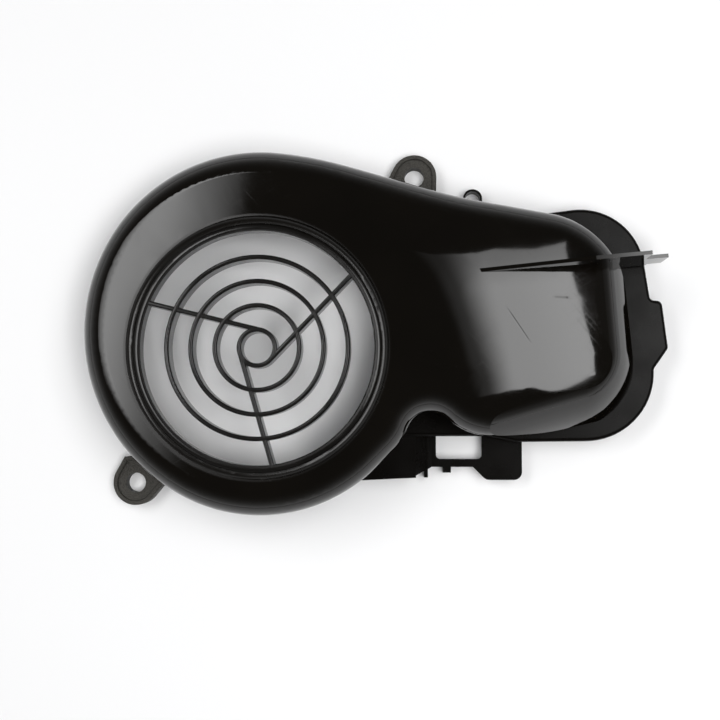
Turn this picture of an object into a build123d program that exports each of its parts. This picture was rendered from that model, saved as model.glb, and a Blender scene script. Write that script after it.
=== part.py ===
from build123d import *
import os
from math import cos, radians, sin, tan

# Cooling-fan shroud of a small air-cooled engine, in millimetres.
# Origin: the fan's axis, on the rear plane that meets the crankcase. +Z points out through
# the intake grille, +X points along the air duct towards the cylinder.

# --- driving dimensions -------------------------------------------------------------------
WALL = 2.5                      # moulded wall
PARTING_Z = 16.5                # plane where the front cover sits on the rear frame
EDGE_RADIUS = 12.0              # rounding between the cover's face and its wall
COVER_LIMIT_Z = 60.0            # above every point of the crown

# Scroll outline, walked clockwise from its tongue: (radius, sweep), or (0, length) if straight.
SCROLL_RADIUS = 71.7
SCROLL_START = -45.0
SCROLL_STEPS = (
    (SCROLL_RADIUS, -73.0),
    (81.2, -89.0),
    (75.0, -69.3),
    (178.0, -9.7),
    (0, 40.6),
    (206.0, 6.0),
)
DUCT_TOP_RUN = 60.3             # straight run to the duct's upper corner
DUCT_TOP_ROUND = 40.0
DUCT_CORNERS = (                # x, y, radius round the outlet end and into the notch
    (164.6, -27.4, 22.0),
    (124.0, -36.3, 90.0),
    (90.6, -38.4, 30.0),
    (69.6, -20.9, 10.0),
)
TONGUE_RUN = 15.8               # straight run from the notch onto the scroll
TONGUE_ROUND = 30.0

# Crown of the face: highest beside the intake, falling to both ends and to the long edges.
CROWN_TOP = 50.5
CROWN_X = 55.0
CROWN_SQUARE = 6.444            # drop per (100 mm)^2 along X
CROWN_CUBE = 3.364              # drop per (100 mm)^3 along X
SCROLL_CROWN = (7.0, 78.0, 3.0)     # centre line y, half width, drop at that half width
DUCT_CROWN = (11.0, 45.0, 4.0)
CROWN_BLEND = (5.0, 80.0)     # x range over which the scroll's crown becomes the duct's

# Flared wall of the duct: along its lower edge, round the outlet corner and up its end, the
# wall leans out below the face's rounding. Its path is an arc with a straight run on each side,
# drawn in a plane that follows the crown, and it turns away outward past both ends.
FLARE_CENTRE = (135.1, -1.9, 43.0)
FLARE_FALL = (-0.085, -0.027)   # slope of the path's plane along X and Y
FLARE_RADIUS = 14.3             # path radius round the outlet corner
FLARE_ANGLES = (-74.0, 4.0)     # outward direction where the arc starts and ends
FLARE_RUNS = (40.0, 38.0)
FLARE_TURN = 40.0
FLARE_TILTS = (16.0, 48.0, 74.0)     # slope where the rounding starts, where it ends, at the foot
FLARE_BULGE = 56.0              # radius of the leaning wall in its own section
FLARE_REACH = 30.0

# Intake opening and its snap-in grille. The face dips round the grille in a concave cove.
SEAT_Z = 44.2                   # floor of the pocket that the grille's flange sits in
SEAT_RADIUS = 53.3
COVE_Z = 45.6                   # lowest line of the cove, level with the grille
COVE_RADIUS = 3.1
COVE_SWEEP = 68.0               # angle the cove turns through before it meets the wall
OPENING_RADIUS = 51.5
GRILLE_TOP_Z = 46.0
GRILLE_DEPTH = 9.3
SLEEVE_DEPTH = 7.2
GRILLE_BORE = 50.1
GRILLE_SLEEVE = 51.3
GRILLE_FLANGE = 53.1
FLANGE_FALL = 0.6               # drop of the flange's rounded top at its outer edge
BLADE = 2.0
BLADE_ROUND = 0.85
RING_PITCH = 10.37
HUB_RING = 7.7
SPOKE_ANGLES = (46.3, 166.3, 286.3)
HOOK_COUNT = 6

# Screw joints between the rear frame and the cover.
SCREW_SITES = (
    (-46.8, 59.9),
    (-62.2, -22.7),
    (13.4, -63.4),
    (143.0, 41.7),
    (150.9, -20.0),
    (58.1, 66.1),
)
POST_RADIUS = 4.2
PAD_Z = 13.5
SCREW_RADIUS = 1.95
SCREW_LENGTH = 11.0
HEAD_RADIUS = 3.7
HEAD_HEIGHT = 2.6

# Rear frame.
FRAME_INSET = 0.3               # step that leaves the parting line
LIP_HEIGHT = 3.0
LIP_WALL = 1.3
FIT_GAP = 0.15
SEAL_INSET = 1.4
SEAL_WIDTH = 2.0
SEAL_DEPTH = 1.6

# Bolting ears: each is a rounded plate that widens to two roots on the shell's side.
LUG_HEIGHT = 8.0
LUG_FLOOR = 6.6
LUG_LIP = 2.0
LUG_LIP_ROUND = 0.65
LUG_RADIUS = 10.2
LUG_BORE = 4.5
UPPER_LUG = (67.0, 80.6)
UPPER_ROOTS = ((54.5, 78.5), (77.0, 72.0), (60.0, 70.0))
LOWER_LUG = (-60.1, -58.8)
LOWER_ROOTS = ((-65.3, -47.0), (-46.5, -58.4), (-48.0, -45.0))

# Hollow boss outside the duct, open from end to end.
BOSS = (93.6, 70.5)
BOSS_HEIGHT = 7.0
BOSS_RADIUS = 4.4
BOSS_BORE = 3.4

# Fin that stands on the duct's face and runs out past its end wall: (distance, height).
FIN_START = (93.5, 32.0)
FIN_HEADING = 4.9
FIN_THICKNESS = 1.6
FIN_PROFILE = (
    (0.0, 30.0), (0.0, 48.2), (49.0, 55.2), (72.0, 55.8), (72.0, 41.0), (81.6, 41.0),
    (81.6, 24.0), (75.6, 24.0), (75.6, 20.0), (60.0, 20.0),
)

# Lower body round the outlet: flange, tab and the box and bracket under the notch.
FLANGE_START = (104.0, 59.3)
FLANGE_UPPER = ((165.1, 66.8, 28.5), (171.7, 22.8, 2.0))       # x, y, radius
FLANGE_TAB = ((176.8, 22.2, 2.5), (179.3, 1.2, 2.0), (172.9, -8.0, 2.0))
FLANGE_LOWER = ((173.5, -39.6, 30.5), (112.0, -40.3, 3.0), (98.0, -37.7, 3.0))
FLANGE_END = (60.0, -37.7)
FLANGE_EDGE = 1.6
TAB_THICKNESS = 3.5

BOX_CORNERS = ((38.0, -50.0), (43.2, -57.4), (67.5, -56.2), (67.5, -36.0), (52.0, -36.0))
BOX_TOP = 15.2
BOX_EDGE = 0.8
RAMP = ((67.5, 15.2), (70.6, 11.2), (71.3, 11.2), (72.3, 9.9), (73.0, 9.9), (74.6, 8.6))
BRACKET_TOP = 8.6
BRACKET_THICKNESS = 3.0
BRACKET_CORNERS = (
    (66.0, -36.0), (66.0, -56.1), (74.6, -51.5), (93.1, -51.5), (98.9, -57.3), (115.0, -57.3),
    (115.0, -36.0),
)
BRACKET_ROUND = 3.6
WINDOW_LOW = (76.5, -48.0)
WINDOW_HIGH = (97.0, -38.0)
WINDOW_ROUND = 2.0
PEGS = ((72.0, -53.8, 1.8, 5.0), (81.4, -52.5, 3.7, 3.2))      # x, y, width, length


def polar(radius, angle):
    """Point at a radius and an angle in degrees about the fan's axis."""
    return (radius * cos(radians(angle)), radius * sin(radians(angle)))


def ahead(point, heading, length):
    """Point a length ahead of another along a heading in degrees."""
    return (point[0] + length * cos(radians(heading)), point[1] + length * sin(radians(heading)))


def walk(start, heading, steps):
    """Tangent arcs and lines from a start point; gives their curves, last point and heading."""
    curves = []
    for size, amount in steps:
        if size == 0:
            curves.append(Line(start, ahead(start, heading, amount)))
        else:
            curves.append(JernArc(start, ahead((0, 0), heading, 1), size, amount))
            heading += amount
        end = curves[-1] @ 1
        start = (end.X, end.Y)
    return curves, start, heading


def shell_face():
    """Outer outline shared by the cover and the frame: scroll, air duct and notch."""
    tongue = polar(SCROLL_RADIUS, SCROLL_START)
    start_heading = SCROLL_START - 90
    curves, point, heading = walk(tongue, start_heading, SCROLL_STEPS)
    upper_corner = ahead(point, heading, DUCT_TOP_RUN)
    bend = ahead(tongue, start_heading, -TONGUE_RUN)
    corners = [corner[:2] for corner in DUCT_CORNERS]
    radii = [corner[2] for corner in DUCT_CORNERS]
    duct = FilletPolyline(
        point, upper_corner, *corners, bend, tongue,
        radius=(DUCT_TOP_ROUND, *radii, TONGUE_ROUND),
    )
    return make_face(Curve() + [*curves, duct])


def smooth(value, low, high):
    """Smooth step from 0 at low to 1 at high."""
    part = min(1.0, max(0.0, (value - low) / (high - low)))
    return part * part * (3 - 2 * part)


def crown_height(x, y):
    """Height of the cover's outer face."""
    along = (x - CROWN_X) / 100
    duct_share = smooth(x, *CROWN_BLEND)
    centre, half, drop = [
        a + (b - a) * duct_share for a, b in zip(SCROLL_CROWN, DUCT_CROWN)
    ]
    across = (y - centre) / half
    return CROWN_TOP - CROWN_SQUARE * along**2 - CROWN_CUBE * along**3 - drop * across**2


def under_crown(lowered):
    """Solid that fills all space below the crown, which may be lowered by the wall."""
    grid = [
        [Vector(x, y, crown_height(x, y) - lowered) for y in range(-95, 116, 15)]
        for x in range(-100, 191, 15)
    ]
    surface = Face.make_surface_from_array_of_points(grid, tol=0.001)
    return Solid.extrude(surface, (0, 0, -2 * COVER_LIMIT_Z))


def inset(face, distance):
    """A face shrunk by a distance all round."""
    return offset(face, amount=-distance, kind=Kind.ARC)


def prism(face, low, high):
    """Upright solid over a flat face, from one height to another."""
    return extrude(Pos(0, 0, low) * face, high - low)


def drum(centre, radius, low, high):
    """Upright cylinder between two heights."""
    return prism(Pos(*centre) * Circle(radius), low, high)


def flare_section(lowered):
    """Section of the space outside the flared wall: outward distance and height."""
    turns = [radians(angle) for angle in FLARE_TILTS]
    rounding = EDGE_RADIUS - lowered
    bulge = FLARE_BULGE - lowered
    start = (-lowered * sin(turns[0]), -lowered * cos(turns[0]))
    knee = bend_point(start, rounding, turns[0], turns[1])
    foot = bend_point(knee, bulge, turns[1], turns[2])
    inside = 1.0 - FLARE_RADIUS
    inner = (inside, start[1] + (start[0] - inside) * tan(turns[0]))
    low = foot[1] - FLARE_REACH
    toe = (foot[0] + (foot[1] - low) / tan(turns[2]), low)
    high = COVER_LIMIT_Z - FLARE_CENTRE[2]
    with BuildSketch() as section:
        with BuildLine():
            Line(inner, start)
            ThreePointArc(start, bend_point(start, rounding, turns[0], turns[1], 0.5), knee)
            ThreePointArc(knee, bend_point(knee, bulge, turns[1], turns[2], 0.5), foot)
            Polyline(foot, toe, (FLARE_REACH, low), (FLARE_REACH, high), (inner[0], high), inner)
        make_face()
    return section.sketch


def bend_point(start, radius, low, high, part=1.0):
    """Point part of the way along an arc that steepens from one slope to another."""
    turn = low + (high - low) * part
    return (start[0] + radius * (sin(turn) - sin(low)),
            start[1] - radius * (cos(low) - cos(turn)))


def upright(angle, shift):
    """Upright plane through the flare's axis, moved along its own normal."""
    out = polar(1, angle)
    plane = Plane(origin=(0, 0, 0), x_dir=(*out, 0), z_dir=(out[1], -out[0], 0))
    return plane.offset(shift)


def flare_cut(lowered):
    """Space outside the flared wall, swept along its path."""
    section = Pos(FLARE_RADIUS, 0) * flare_section(lowered)
    first, last = FLARE_ANGLES
    before, after = upright(first, FLARE_RUNS[0]), upright(last, -FLARE_RUNS[1])
    pivot = FLARE_RADIUS + FLARE_REACH + 2
    corner = revolve(upright(first, 0) * section, Axis.Z, last - first)
    lower_run = extrude(upright(first, 0) * section, FLARE_RUNS[0])
    end_run = extrude(upright(last, 0) * section, -FLARE_RUNS[1])
    lower_turn = revolve(before * section, Axis(before.from_local_coords((pivot, 0, 0)), (0, 0, 1)),
                         FLARE_TURN)
    end_turn = revolve(after * section, Axis(after.from_local_coords((pivot, 0, 0)), (0, 0, -1)),
                       FLARE_TURN)
    tilted = Plane(origin=FLARE_CENTRE, x_dir=(1, 0, FLARE_FALL[0]),
                   z_dir=(-FLARE_FALL[0], -FLARE_FALL[1], 1))
    return [tilted * piece for piece in (lower_turn, lower_run, corner, end_run, end_turn)]


def domed(face, lowered, rounding):
    """Prism of an outline cut by the crown and the flare, with its top edge rounded."""
    block = prism(face, PARTING_Z, COVER_LIMIT_Z) & under_crown(lowered)
    top = block.faces().sort_by(Axis.Z)[-1]
    block = fillet(top.outer_wire().edges(), rounding)
    for piece in flare_cut(lowered):
        block = block - piece
    return block


def recess():
    """Space cut out of the face round the intake: grille pocket, cove and short wall."""
    middle = cove_point(COVE_SWEEP / 2)
    end = cove_point(COVE_SWEEP)
    with BuildSketch(Plane.XZ) as section:
        with BuildLine():
            Polyline((end[0] + 1.0, COVER_LIMIT_Z), (0, COVER_LIMIT_Z), (0, SEAT_Z),
                     (SEAT_RADIUS, SEAT_Z), (SEAT_RADIUS, COVE_Z))
            ThreePointArc((SEAT_RADIUS, COVE_Z), middle, end)
            Line(end, (end[0] + 1.0, COVER_LIMIT_Z))
        make_face()
    return revolve(section.sketch, Axis.Z)


def cove_point(angle):
    """Radius and height of the cove after it has turned through an angle."""
    turn = radians(angle)
    return (SEAT_RADIUS + COVE_RADIUS * sin(turn), COVE_Z + COVE_RADIUS * (1 - cos(turn)))


def recess_backing():
    """Floor and wall that close the shell behind the recess."""
    outside = SEAT_RADIUS + COVE_RADIUS + WALL
    return drum((0, 0), outside, SEAT_Z - WALL, COVER_LIMIT_Z)


def fin():
    """Thin upright rib with a stepped free end."""
    plane = Plane(origin=(*FIN_START, 0), x_dir=ahead((0, 0), FIN_HEADING, 1) + (0,),
                  z_dir=ahead((0, 0), FIN_HEADING - 90, 1) + (0,))
    blade = make_face(Polyline(*FIN_PROFILE, close=True))
    return extrude(plane * blade, FIN_THICKNESS / 2, both=True)


def front_cover():
    """Glossy shell: scroll and duct in one moulding, open at the rear."""
    face = shell_face()
    outer = domed(face, 0, EDGE_RADIUS)
    cavity = domed(inset(face, WALL), WALL, EDGE_RADIUS - WALL)
    posts = [drum(site, POST_RADIUS, PARTING_Z, COVER_LIMIT_Z) & outer for site in SCREW_SITES]
    cover = outer - cavity + posts + (recess_backing() & outer)
    cover = cover - recess() - drum((0, 0), OPENING_RADIUS, 0, COVER_LIMIT_Z)
    cover = cover + (fin() - cavity)
    pilot_top = PAD_Z + SCREW_LENGTH + 1.0
    for site in SCREW_SITES:
        cover = cover - drum(site, SCREW_RADIUS + 0.05, 0, pilot_top)
    return cover


def ring(outer, inner, low, high):
    """Flat-ended ring about the fan's axis."""
    return drum((0, 0), outer, low, high) - drum((0, 0), inner, low, high)


def spoke(angle):
    """Straight blade that leaves the hub ring along its tangent and ends in the sleeve."""
    start = polar(HUB_RING, angle - 90)
    length = (GRILLE_BORE**2 - HUB_RING**2) ** 0.5 + 0.6
    blade = Pos(*start) * Rot(0, 0, angle) * Pos(length / 2, 0) * Rectangle(length, BLADE)
    blade = prism(blade, GRILLE_TOP_Z - GRILLE_DEPTH, GRILLE_TOP_Z - 0.3)
    long_edges = blade.edges().group_by(Axis.Z)[-1].filter_by(lambda e: e.length > length / 2)
    return fillet(long_edges, BLADE_ROUND)


def grille_flange():
    """Flange that fills the pocket, with a top that rounds down to its outer edge."""
    top, low = GRILLE_TOP_Z, GRILLE_TOP_Z - FLANGE_FALL
    crest = GRILLE_BORE + 1.2
    with BuildSketch(Plane.XZ) as section:
        with BuildLine():
            Polyline((crest, top), (GRILLE_BORE + 0.5, top - 0.1), (GRILLE_BORE, top - 0.6),
                     (GRILLE_BORE, SEAT_Z), (GRILLE_FLANGE, SEAT_Z), (GRILLE_FLANGE, low))
            TangentArc((crest, top), (GRILLE_FLANGE, low), tangent=(1, 0))
        make_face()
    return revolve(section.sketch, Axis.Z)


def intake_grille():
    """Snap-in guard: flange, sleeve, concentric rings and tangent spokes."""
    low = GRILLE_TOP_Z - GRILLE_DEPTH
    grille = grille_flange()
    grille = grille + ring(GRILLE_SLEEVE, GRILLE_BORE, GRILLE_TOP_Z - SLEEVE_DEPTH, SEAT_Z)
    for count in range(4):
        middle = HUB_RING + RING_PITCH * count
        blade = ring(middle + BLADE / 2, middle - BLADE / 2, low, GRILLE_TOP_Z)
        grille = grille + fillet(blade.edges().group_by(Axis.Z)[-1], BLADE_ROUND)
    for angle in SPOKE_ANGLES:
        grille = grille + spoke(angle)
    hook_top = SEAT_Z - WALL - FIT_GAP
    hooks = ring(GRILLE_SLEEVE + 1.3, GRILLE_SLEEVE - 0.5, hook_top - 2.5, hook_top)
    wedge = prism(Pos(GRILLE_SLEEVE, 0) * Rectangle(8, 9), hook_top - 2.5, hook_top)
    for count in range(HOOK_COUNT):
        grille = grille + (hooks & (Rot(0, 0, count * 360 / HOOK_COUNT + 15) * wedge))
    return grille


def flange_face(tab):
    """Outline of the wider lower body round the air outlet, with or without its tab."""
    corners = FLANGE_UPPER + (FLANGE_TAB if tab else ()) + FLANGE_LOWER
    edge = FilletPolyline(
        FLANGE_START, *[corner[:2] for corner in corners], FLANGE_END,
        radius=[corner[2] for corner in corners],
    )
    return make_face(Curve() + [edge, Line(FLANGE_END, FLANGE_START)])


def polygon(points):
    """Flat face over a closed run of straight sides."""
    return make_face(Polyline(*points, close=True))


def box():
    """Low closed box under the notch, stepped down to the bracket on one side."""
    body = prism(polygon(BOX_CORNERS), 0, BOX_TOP)
    outer_edges = body.edges().group_by(Axis.Z)[-1].filter_by(lambda e: e.center().Y < -50)
    body = fillet(outer_edges, BOX_EDGE)
    start, end = RAMP[0][0], RAMP[-1][0]
    steps = Plane.XZ * polygon(((start - 3, 4), (start - 3, BOX_TOP), *RAMP, (end, 4)))
    ramp = Pos(0, -36, 0) * extrude(steps, 24)
    outline = polygon(((start - 4, -36), (start - 4, -55.3), (start, -55.2), (end, -51.5),
                       (end, -36)))
    return body + (ramp & prism(outline, 0, COVER_LIMIT_Z))


def bracket():
    """Flat bracket beside the box: a windowed bar, a broad tab and two locating pegs."""
    low = BRACKET_TOP - BRACKET_THICKNESS
    plate = prism(polygon(BRACKET_CORNERS), low, BRACKET_TOP)
    outer_corners = plate.edges().filter_by(Axis.Z).filter_by(lambda e: e.center().Y < -57)
    plate = fillet(outer_corners, BRACKET_ROUND)
    width = WINDOW_HIGH[0] - WINDOW_LOW[0]
    depth = WINDOW_HIGH[1] - WINDOW_LOW[1] + 6
    middle = ((WINDOW_LOW[0] + WINDOW_HIGH[0]) / 2, WINDOW_LOW[1] + depth / 2)
    window = prism(Pos(*middle) * RectangleRounded(width, depth, WINDOW_ROUND), 0, COVER_LIMIT_Z)
    for x, y, peg_width, length in PEGS:
        plate = plate + prism(Pos(x, y) * Rectangle(peg_width, length), 0.6, BRACKET_TOP - 1.5)
    return plate, window


def lug(centre, roots):
    """Bolting ear: a plate with a raised round-topped lip that widens to its roots."""
    rim = Pos(*centre) * Circle(LUG_RADIUS)
    outline = make_hull([*rim.edges(), *Polyline(*roots).edges()])
    lip = prism(outline, 0, LUG_HEIGHT)
    lip = lip - prism(inset(outline, LUG_LIP), LUG_FLOOR, LUG_HEIGHT)
    return fillet(lip.edges().group_by(Axis.Z)[-1], LUG_LIP_ROUND)


def boss_pillar():
    """Outside boss with a web to the wall."""
    web = Pos(BOSS[0], BOSS[1] - 5) * Rectangle(2 * BOSS_RADIUS, 10)
    return prism(Pos(*BOSS) * Circle(BOSS_RADIUS) + web, 0, BOSS_HEIGHT)


def rear_frame():
    """Satin lower body: skirt, mating shelf, lip, outlet flange, bracket, lugs and boss."""
    shell = inset(shell_face(), FRAME_INSET)
    flange = flange_face(False)
    base = (shell + flange).faces()[0]
    skirt = prism(shell, 0, PARTING_Z)
    plate = prism(flange_face(True), PARTING_Z - TAB_THICKNESS, PARTING_Z)
    plate = fillet(plate.edges().group_by(Axis.Z)[-1], FLANGE_EDGE)
    outlet = prism(flange, 0, PARTING_Z - TAB_THICKNESS) + plate
    bar, window = bracket()
    ears = lug(UPPER_LUG, UPPER_ROOTS) + lug(LOWER_LUG, LOWER_ROOTS)
    frame = skirt + outlet + box() + (bar - window) + ears + boss_pillar()
    frame = frame - rear_cavity(shell, flange)
    frame = frame + locating_lip()
    for site in SCREW_SITES:
        frame = frame + drum(site, POST_RADIUS + 0.6, PAD_Z, PARTING_Z)
        frame = frame - drum(site, POST_RADIUS + 0.75, PARTING_Z, COVER_LIMIT_Z)
        frame = frame - drum(site, SCREW_RADIUS + 0.3, 0, COVER_LIMIT_Z)
    for centre in (UPPER_LUG, LOWER_LUG):
        frame = frame - drum(centre, LUG_BORE, 0, COVER_LIMIT_Z)
    frame = frame - drum(BOSS, BOSS_BORE, 0, COVER_LIMIT_Z)
    return frame - seal_ring(base, 0)


def locating_lip():
    """Thin wall that stands up inside the cover's rim and follows its flare."""
    outside = inset(shell_face(), WALL + FIT_GAP)
    lip = prism(outside, PARTING_Z, PARTING_Z + LIP_HEIGHT)
    for piece in flare_cut(WALL + FIT_GAP):
        lip = lip - piece
    lip = lip + prism(outside, PARTING_Z - WALL, PARTING_Z)
    return lip - prism(inset(outside, LIP_WALL), 0, COVER_LIMIT_Z)


def rear_cavity(shell, flange):
    """Air space through the frame, behind the mating shelf and inside the outlet flange."""
    throat = prism(inset(shell, WALL), -1, COVER_LIMIT_Z)
    bell = prism(inset(flange, WALL), -1, PARTING_Z - WALL)
    return throat + bell


def seal_ring(base, gap):
    """Flat ring in the rear rim that holds the rubber seal."""
    outside = inset(base, SEAL_INSET + gap)
    inside = inset(base, SEAL_INSET + SEAL_WIDTH - gap)
    return prism(outside, 0, SEAL_DEPTH) - prism(inside, 0, SEAL_DEPTH)


def rear_seal():
    """Rubber strip that seals the rear rim against the crankcase and cylinder."""
    base = (inset(shell_face(), FRAME_INSET) + flange_face(False)).faces()[0]
    return seal_ring(base, FIT_GAP / 2)


def cover_screw():
    """Self-tapping pan-head screw, driven from the rear, standing on the fan's axis."""
    head = drum((0, 0), HEAD_RADIUS, PAD_Z - HEAD_HEIGHT, PAD_Z)
    head = fillet(head.edges().group_by(Axis.Z)[0], 1.2)
    slot = prism(Rectangle(4.4, 1.0) + Rectangle(1.0, 4.4), 0, PAD_Z - HEAD_HEIGHT + 1.5)
    shank = drum((0, 0), SCREW_RADIUS, PAD_Z, PAD_Z + SCREW_LENGTH)
    shank = chamfer(shank.edges().group_by(Axis.Z)[-1], 1.2)
    return head + shank - slot


def cover_screws():
    """All cover screws, as separate solids."""
    screw = cover_screw()
    return Compound([Pos(*site) * screw for site in SCREW_SITES])


def main():
    """Write one STEP file for each piece."""
    os.makedirs("parts", exist_ok=True)
    pieces = (front_cover, intake_grille, rear_frame, rear_seal, cover_screws)
    for piece in pieces:
        export_step(piece(), f"parts/{piece.__name__}.step")


main()
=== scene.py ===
import bpy
from math import pi, radians
from mathutils import Matrix, Vector

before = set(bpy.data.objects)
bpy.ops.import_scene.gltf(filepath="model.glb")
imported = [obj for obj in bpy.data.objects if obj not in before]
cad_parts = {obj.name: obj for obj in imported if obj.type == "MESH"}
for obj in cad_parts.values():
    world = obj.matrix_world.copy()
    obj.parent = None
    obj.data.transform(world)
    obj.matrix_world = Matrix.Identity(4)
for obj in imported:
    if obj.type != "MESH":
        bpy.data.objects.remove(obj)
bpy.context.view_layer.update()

MM = 0.001

# Room: how bright it is straight up and at the horizon, and how fast one gives way to the other.
CEILING = 0.06
HORIZON = 1.1
HORIZON_POWER = 3.2

TABLE_COLOUR = (0.86, 0.86, 0.865)
TABLE_SIZE = 6
TABLE_MOTTLING = 0.985                  # darkest patches of the table against its colour

# Camera: lens in millimetres, place in metres and the direction it looks in.
LENS = 60.95
CAMERA_PLACE = (0.0671, -0.0363, 0.560)
CAMERA_LOOK = (-0.0449, 0.0598, -0.9972)

# Lamps hang level at one height and face down; places and sizes in metres, turns in degrees.
# Over a softbox's width and its length, pairs give a place from 0 to 1 and its brightness there.
LAMP_HEIGHT = 1.0
SOFTBOXES = {
    "softbox_left": {
        "place": (-0.665, 0.16),
        "size": (0.84, 0.92),
        "radiance": 5.5,
        "turn": -6,
        "across": ((0.0, 0.0), (0.2, 0.33), (0.5, 0.6), (0.75, 0.95), (0.88, 1.0), (1.0, 0.0)),
        "along": ((0.0, 0.0), (0.35, 1.0), (1.0, 1.0)),
    },
    "softbox_right": {
        "place": (0.42, 0.12),
        "size": (0.46, 0.64),
        "radiance": 6.8,
        "turn": 11,
        "across": ((0.0, 0.0), (0.08, 0.06), (0.34, 0.85), (1.0, 1.0)),
        "along": ((0.0, 1.0), (0.7, 1.0), (1.0, 0.5)),
    },
}
TABLE_LIGHT = {"place": (0.26, -0.2), "size": (0.4, 0.4), "radiance": 12.0}

NOISE_LOW = 0.3                         # nearly all of a noise lies between these two
NOISE_HIGH = 0.7

IOR = 1.5
DULL_SPECULAR = 0.1                     # weaker mirror of the satin moulding
TABLE_SPECULAR = 0.2

COVE_RADIUS = 56.6 * MM                 # outside of the concave band round the grille
COVE_EDGE = 0.8 * MM
COVE_HAZE = 0.20
FLOW_WAVES = 26 * MM                    # spacing of the slow waves in the gloss
FLOW_WAVE_HEIGHT = 0.02                 # this and the depths below are in millimetres
RUB_DEPTH = 0.0006
RUB_ROUGHNESS = 0.06
SCUFF_ROUGHNESS = 0.025

# Two marks in the gloss of the duct: start, length and half width in millimetres, turn in degrees.
SINK = {"start": (123.4, 21.6), "turn": -2.5, "length": 11.0, "half_width": 0.9}
SINK_DEPTH = 0.07
SCRATCH = {"start": (104.3, 18.5), "turn": -56.0, "length": 24.0, "half_width": 0.3}
SCRATCH_DEPTH = 0.024
MARK_FADE_IN = 0.3                      # share of a mark's length over which it starts
MARK_FADE_OUT = 0.75                    # share of its length at which it begins to end

# Bolting ears: places, radius of the worn patch round each and its soft edge, in millimetres.
LUGS = ((67.0, 80.6), (-60.1, -58.8))
LUG_WEAR = 13.0
LUG_WEAR_EDGE = 2.0
LUG_WEAR_ROUGHNESS = 0.25
LUG_GRAIN_SHARE = 1.1                   # how much the grain lightens a worn ear
PATCH_SHARE = 0.12                      # how much the slow patches lighten the rest
LUG_GRAIN_GAIN = 4.0                    # extra height of the grain on a worn ear
GRAIN_HEIGHT = 0.012                    # in millimetres


# --- node helpers ---------------------------------------------------------------------------
def new_material(name, colour, roughness, metallic=0.0):
    """Material with plain values that its nodes refine; gives it and its shader node."""
    material = bpy.data.materials.new(name)
    material.use_nodes = True
    surface = material.node_tree.nodes["Principled BSDF"]
    surface.inputs["Base Color"].default_value = (*colour, 1)
    surface.inputs["Roughness"].default_value = roughness
    surface.inputs["Metallic"].default_value = metallic
    surface.inputs["IOR"].default_value = IOR
    return material, surface


def placed(material, scale=(1, 1, 1), turn=(0, 0, 0), shift=(0, 0, 0)):
    """Coordinates in a frame that is shifted, turned in degrees and scaled from the object's."""
    nodes, links = material.node_tree.nodes, material.node_tree.links
    coordinates = nodes.new("ShaderNodeTexCoord")
    mapping = nodes.new("ShaderNodeMapping")
    mapping.vector_type = "TEXTURE"
    mapping.inputs["Location"].default_value = shift
    mapping.inputs["Rotation"].default_value = [radians(angle) for angle in turn]
    mapping.inputs["Scale"].default_value = scale
    links.new(coordinates.outputs["Object"], mapping.inputs["Vector"])
    return mapping.outputs["Vector"]


def noise(material, size, detail=2.0, vector=None, roughness=0.5):
    """Noise whose features are about one size across, in metres."""
    nodes, links = material.node_tree.nodes, material.node_tree.links
    texture = nodes.new("ShaderNodeTexNoise")
    texture.inputs["Scale"].default_value = 1 / size
    texture.inputs["Detail"].default_value = detail
    texture.inputs["Roughness"].default_value = roughness
    links.new(vector or placed(material), texture.inputs["Vector"])
    return texture.outputs["Fac"]


def spread(material, value, low, high, to_low, to_high):
    """Value from one range carried over to another and held inside it."""
    nodes, links = material.node_tree.nodes, material.node_tree.links
    remap = nodes.new("ShaderNodeMapRange")
    names = ("From Min", "From Max", "To Min", "To Max")
    for name, number in zip(names, (low, high, to_low, to_high)):
        remap.inputs[name].default_value = number
    links.new(value, remap.inputs["Value"])
    return remap.outputs["Result"]


def combine(owner, operation, *values):
    """Math node over sockets and plain numbers, in a material or a world."""
    nodes, links = owner.node_tree.nodes, owner.node_tree.links
    math = nodes.new("ShaderNodeMath")
    math.operation = operation
    for socket, value in zip(math.inputs, values):
        if isinstance(value, (int, float)):
            socket.default_value = value
        else:
            links.new(value, socket)
    return math.outputs["Value"]


def tint(material, surface, value, dark, light):
    """Colour the surface between two shades by a value."""
    nodes, links = material.node_tree.nodes, material.node_tree.links
    ramp = nodes.new("ShaderNodeValToRGB")
    ramp.color_ramp.elements[0].color = (*dark, 1)
    ramp.color_ramp.elements[1].color = (*light, 1)
    ramp.color_ramp.elements[0].position = NOISE_LOW
    ramp.color_ramp.elements[1].position = NOISE_HIGH
    links.new(value, ramp.inputs["Fac"])
    links.new(ramp.outputs["Color"], surface.inputs["Base Color"])


def roughen(material, surface, rough):
    """Take the surface's roughness from a value."""
    material.node_tree.links.new(rough, surface.inputs["Roughness"])


def relief(material, surface, *layers):
    """Bump from pairs of a height value and its full height in millimetres."""
    nodes, links = material.node_tree.nodes, material.node_tree.links
    normal = None
    for height, depth in layers:
        bump = nodes.new("ShaderNodeBump")
        bump.inputs["Distance"].default_value = depth * MM
        links.new(height, bump.inputs["Height"])
        if normal is not None:
            links.new(normal, bump.inputs["Normal"])
        normal = bump.outputs["Normal"]
    links.new(normal, surface.inputs["Normal"])


def near_axis(material, centre, radius, edge):
    """1 inside an upright cylinder about a centre, fading to 0 across its edge; in metres."""
    nodes, links = material.node_tree.nodes, material.node_tree.links
    flat = placed(material, scale=(1, 1, 1e6), shift=(*centre, 0))
    length = nodes.new("ShaderNodeVectorMath")
    length.operation = "LENGTH"
    links.new(flat, length.inputs[0])
    return spread(material, length.outputs["Value"], radius, radius + edge, 1, 0)


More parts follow.
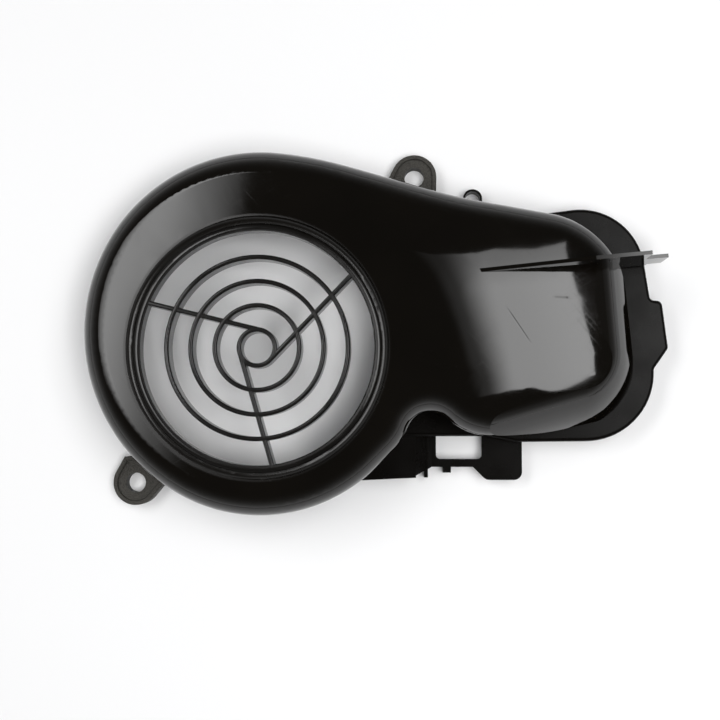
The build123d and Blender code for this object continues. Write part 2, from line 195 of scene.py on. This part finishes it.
def groove(material, start, turn, length, half_width):
    """1 along the middle of one straight mark, fading to its sides and ends; in millimetres."""
    nodes, links = material.node_tree.nodes, material.node_tree.links
    place = placed(material, scale=(length * MM, half_width * MM, 1), turn=(0, 0, turn),
                   shift=(start[0] * MM, start[1] * MM, 0))
    split = nodes.new("ShaderNodeSeparateXYZ")
    links.new(place, split.inputs["Vector"])
    beside = combine(material, "ABSOLUTE", split.outputs["Y"])
    ends = combine(material, "MULTIPLY",
                   spread(material, split.outputs["X"], 0, MARK_FADE_IN, 0, 1),
                   spread(material, split.outputs["X"], MARK_FADE_OUT, 1, 1, 0))
    return combine(material, "MULTIPLY", spread(material, beside, 0, 1, 1, 0), ends)


def hairlines(material, turn, spacing):
    """Sparse fine rubbing marks that run along one direction; 1 on a mark, 0 beside it."""
    along = placed(material, scale=(40 * spacing, spacing, 40 * spacing), turn=(0, 0, turn))
    streaks = noise(material, 1.0, 1.0, along)
    return spread(material, streaks, 0.66, 0.72, 0, 1)


# --- materials ------------------------------------------------------------------------------
def gloss_black():
    """Polished moulded plastic: flow waves, rubbing marks, scuffs, a sink line and a scratch."""
    material, surface = new_material("gloss_black", (0.002, 0.002, 0.002), 0.04)
    cloud = noise(material, 30 * MM, 3.0)
    tint(material, surface, cloud, (0.0019, 0.0014, 0.0008), (0.0028, 0.0021, 0.0013))
    marks = combine(material, "MAXIMUM", hairlines(material, 32, 0.35 * MM),
                    hairlines(material, -48, 0.5 * MM))
    rubbed = combine(material, "MULTIPLY", marks, spread(material, cloud, 0.45, 0.62, 0, 1))
    haze = spread(material, noise(material, 45 * MM, 4.0), 0.35, 0.7, 0.02, 0.07)
    cove = near_axis(material, (0, 0), COVE_RADIUS, COVE_EDGE)
    haze = combine(material, "MULTIPLY_ADD", cove, COVE_HAZE, haze)
    specks = spread(material, noise(material, 1.1 * MM, 5.0, roughness=0.65), 0.5, 0.68, 0, 1)
    scuffs = combine(material, "MULTIPLY", specks, spread(material, cloud, 0.5, 0.68, 0, 1))
    haze = combine(material, "MULTIPLY_ADD", scuffs, SCUFF_ROUGHNESS, haze)
    rough = combine(material, "MULTIPLY_ADD", rubbed, RUB_ROUGHNESS, haze)
    roughen(material, surface, rough)
    waves = noise(material, FLOW_WAVES, 1.0)
    relief(material, surface, (waves, FLOW_WAVE_HEIGHT), (rubbed, RUB_DEPTH),
           (groove(material, **SINK), -SINK_DEPTH), (groove(material, **SCRATCH), -SCRATCH_DEPTH))
    return material


def grille_black():
    """Semi-gloss black plastic with a faint moulded texture."""
    material, surface = new_material("grille_black", (0.004, 0.0035, 0.003), 0.2)
    patches = noise(material, 14 * MM, 4.0)
    tint(material, surface, patches, (0.003, 0.0026, 0.0021), (0.005, 0.0044, 0.0038))
    roughen(material, surface, spread(material, patches, NOISE_LOW, NOISE_HIGH, 0.17, 0.25))
    relief(material, surface, (noise(material, 0.5 * MM, 2.0), 0.003))
    return material


def satin_black():
    """Satin black plastic with a moulded grain, worn matt and greyer on the bolting ears."""
    material, surface = new_material("satin_black", (0.003, 0.003, 0.003), 0.3)
    surface.inputs["Specular IOR Level"].default_value = DULL_SPECULAR
    patches = noise(material, 14 * MM, 4.0)
    ears = [near_axis(material, (x * MM, y * MM), LUG_WEAR * MM, LUG_WEAR_EDGE * MM)
            for x, y in LUGS]
    wear = combine(material, "MAXIMUM", *ears)
    grain = noise(material, 0.5 * MM, 3.0)
    worn_grain = combine(material, "MULTIPLY", wear, grain)
    shade = combine(material, "MULTIPLY_ADD", worn_grain, LUG_GRAIN_SHARE,
                    combine(material, "MULTIPLY", patches, PATCH_SHARE))
    tint(material, surface, shade, (0.0019, 0.0015, 0.0011), (0.064, 0.061, 0.055))
    unworn = spread(material, patches, NOISE_LOW, NOISE_HIGH, 0.24, 0.34)
    rough = combine(material, "MULTIPLY_ADD", wear, LUG_WEAR_ROUGHNESS, unworn)
    roughen(material, surface, rough)
    gain = combine(material, "MULTIPLY_ADD", wear, LUG_GRAIN_GAIN, 1.0)
    deep = combine(material, "MULTIPLY", grain, gain)
    relief(material, surface, (deep, GRAIN_HEIGHT), (noise(material, 22 * MM, 1.0), 0.02))
    return material


def seal_rubber():
    """Dull rubber with a dusty bloom."""
    material, surface = new_material("seal_rubber", (0.02, 0.02, 0.02), 0.75)
    bloom = noise(material, 6 * MM, 5.0)
    tint(material, surface, bloom, (0.014, 0.014, 0.014), (0.034, 0.033, 0.032))
    roughen(material, surface, spread(material, bloom, NOISE_LOW, NOISE_HIGH, 0.62, 0.85))
    relief(material, surface, (noise(material, 0.6 * MM, 3.0), 0.05))
    return material


def screw_steel():
    """Zinc-plated steel with turning marks and a warm cast in patches."""
    material, surface = new_material("screw_steel", (0.5, 0.49, 0.45), 0.3, metallic=1.0)
    patches = noise(material, 2 * MM, 4.0)
    tint(material, surface, patches, (0.44, 0.42, 0.37), (0.62, 0.61, 0.58))
    roughen(material, surface, spread(material, patches, NOISE_LOW, NOISE_HIGH, 0.24, 0.42))
    turning = noise(material, 1.0, 2.0, placed(material, scale=(4 * MM, 4 * MM, 0.25 * MM)))
    relief(material, surface, (turning, 0.02))
    return material


def table_top():
    """Plain pale table with a very faint mottling."""
    material, surface = new_material("table_top", TABLE_COLOUR, 0.6)
    surface.inputs["Specular IOR Level"].default_value = TABLE_SPECULAR
    darker = [TABLE_MOTTLING * part for part in TABLE_COLOUR]
    tint(material, surface, noise(material, 0.35, 3.0), darker, TABLE_COLOUR)
    return material


# --- studio ---------------------------------------------------------------------------------
def floor():
    """Table that the shroud lies on."""
    bpy.ops.mesh.primitive_plane_add(size=TABLE_SIZE)
    plane = bpy.context.object
    plane.name = "table"
    plane.data.materials.append(table_top())


def overhead(name, place, size, radiance, turn=0):
    """Rectangular lamp that faces straight down, turned about the upright by an angle."""
    data = bpy.data.lights.new(name, "AREA")
    data.shape = "RECTANGLE"
    data.size, data.size_y = size
    data.energy = radiance * pi * size[0] * size[1]
    lamp = bpy.data.objects.new(name, data)
    bpy.context.scene.collection.objects.link(lamp)
    lamp.location = (*place, LAMP_HEIGHT)
    lamp.rotation_euler.z = radians(turn)
    return lamp


def brightness_ramp(data, value, stops):
    """Grey ramp on a lamp's nodes through pairs of place and brightness."""
    ramp = data.node_tree.nodes.new("ShaderNodeValToRGB")
    ramp.color_ramp.interpolation = "EASE"
    ends = ramp.color_ramp.elements
    for element, (place, grey) in zip(ends[:], (stops[0], stops[-1])):
        element.position = place
        element.color = (grey, grey, grey, 1)
    for place, grey in stops[1:-1]:
        ends.new(place).color = (grey, grey, grey, 1)
    data.node_tree.links.new(value, ramp.inputs["Fac"])
    return ramp.outputs["Color"]


def shade_lamp(lamp, across, along):
    """Make a lamp's brightness vary over its width and its length."""
    data = lamp.data
    data.use_nodes = True
    nodes, links = data.node_tree.nodes, data.node_tree.links
    face = nodes.new("ShaderNodeNewGeometry")
    split = nodes.new("ShaderNodeSeparateXYZ")
    links.new(face.outputs["Parametric"], split.inputs["Vector"])
    product = nodes.new("ShaderNodeVectorMath")
    product.operation = "MULTIPLY"
    links.new(brightness_ramp(data, split.outputs["X"], across), product.inputs[0])
    links.new(brightness_ramp(data, split.outputs["Y"], along), product.inputs[1])
    links.new(product.outputs["Vector"], nodes["Emission"].inputs["Color"])


def room():
    """World that is dark overhead and brightens down to the horizon."""
    world = bpy.data.worlds.new("room")
    bpy.context.scene.world = world
    world.use_nodes = True
    nodes, links = world.node_tree.nodes, world.node_tree.links
    coordinates = nodes.new("ShaderNodeTexCoord")
    split = nodes.new("ShaderNodeSeparateXYZ")
    links.new(coordinates.outputs["Generated"], split.inputs["Vector"])
    height = combine(world, "MAXIMUM", split.outputs["Z"], 0.0)
    lowness = combine(world, "SUBTRACT", 1.0, height)
    share = combine(world, "POWER", lowness, HORIZON_POWER)
    glow = combine(world, "MULTIPLY_ADD", share, HORIZON - CEILING, CEILING)
    links.new(glow, nodes["Background"].inputs["Strength"])
    nodes["Background"].inputs["Color"].default_value = (1.0, 1.0, 1.0, 1)


def lamps():
    """Soft boxes that the gloss mirrors, and a lamp for the table that it doesn't."""
    for name, box in SOFTBOXES.items():
        lamp = overhead(name, box["place"], box["size"], box["radiance"], box["turn"])
        shade_lamp(lamp, box["across"], box["along"])
    overhead("table_light", **TABLE_LIGHT).visible_glossy = False


def camera():
    """Camera above the table, looking almost straight down on the object."""
    data = bpy.data.cameras.new("camera")
    data.lens = LENS
    data.clip_start = 0.01
    view = bpy.data.objects.new("camera", data)
    bpy.context.scene.collection.objects.link(view)
    view.location = CAMERA_PLACE
    look = Vector(CAMERA_LOOK).normalized()
    right = look.cross(Vector((0, 1, 0))).normalized()
    above = right.cross(look)
    view.rotation_euler = Matrix((right, above, -look)).transposed().to_euler()
    bpy.context.scene.camera = view


FINISHES = {
    "front_cover": gloss_black(),
    "intake_grille": grille_black(),
    "rear_frame": satin_black(),
    "rear_seal": seal_rubber(),
    "cover_screws": screw_steel(),
}
for node, finish in FINISHES.items():
    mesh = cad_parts[node].data
    mesh.materials.clear()
    mesh.materials.append(finish)

floor()
camera()
room()
lamps()
bpy.context.scene.view_settings.view_transform = "Standard"
